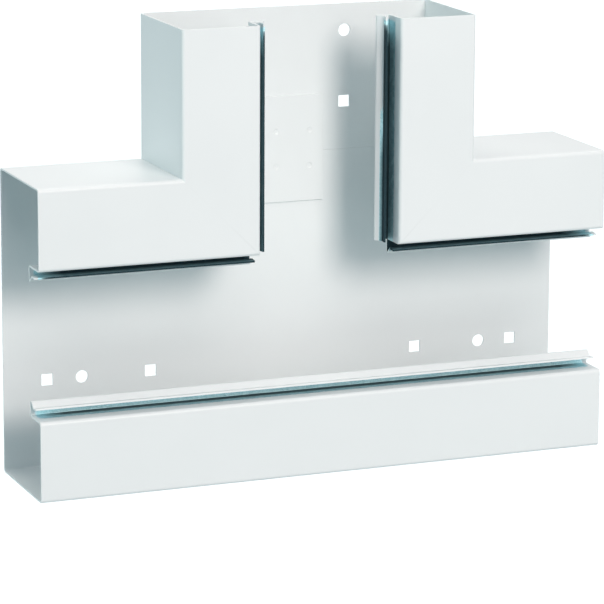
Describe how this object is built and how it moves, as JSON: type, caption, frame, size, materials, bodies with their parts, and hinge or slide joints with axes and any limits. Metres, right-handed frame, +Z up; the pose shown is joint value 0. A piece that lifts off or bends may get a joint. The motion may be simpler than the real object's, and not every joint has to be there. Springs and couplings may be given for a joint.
{
  "type": "trunking tee fitting",
  "caption": "Flat tee for painted steel wall trunking: a horizontal run with a riser of the same section, an open front with rolled lid rails, and a punched back plate.",
  "frame": {"origin": "on the wall side of the back plate, where the centre lines of the run and the riser cross", "axes": "+X along the run, +Y into the wall, +Z up along the riser"},
  "size_m": [0.33, 0.068, 0.25],
  "materials": {
    "powder_coat": "satin"
  },
  "bodies": {
    "root": {"run_trunking": "powder_coat", "riser_trunking": "powder_coat", "joint_plate": "powder_coat"}
  },
  "joints": []
}
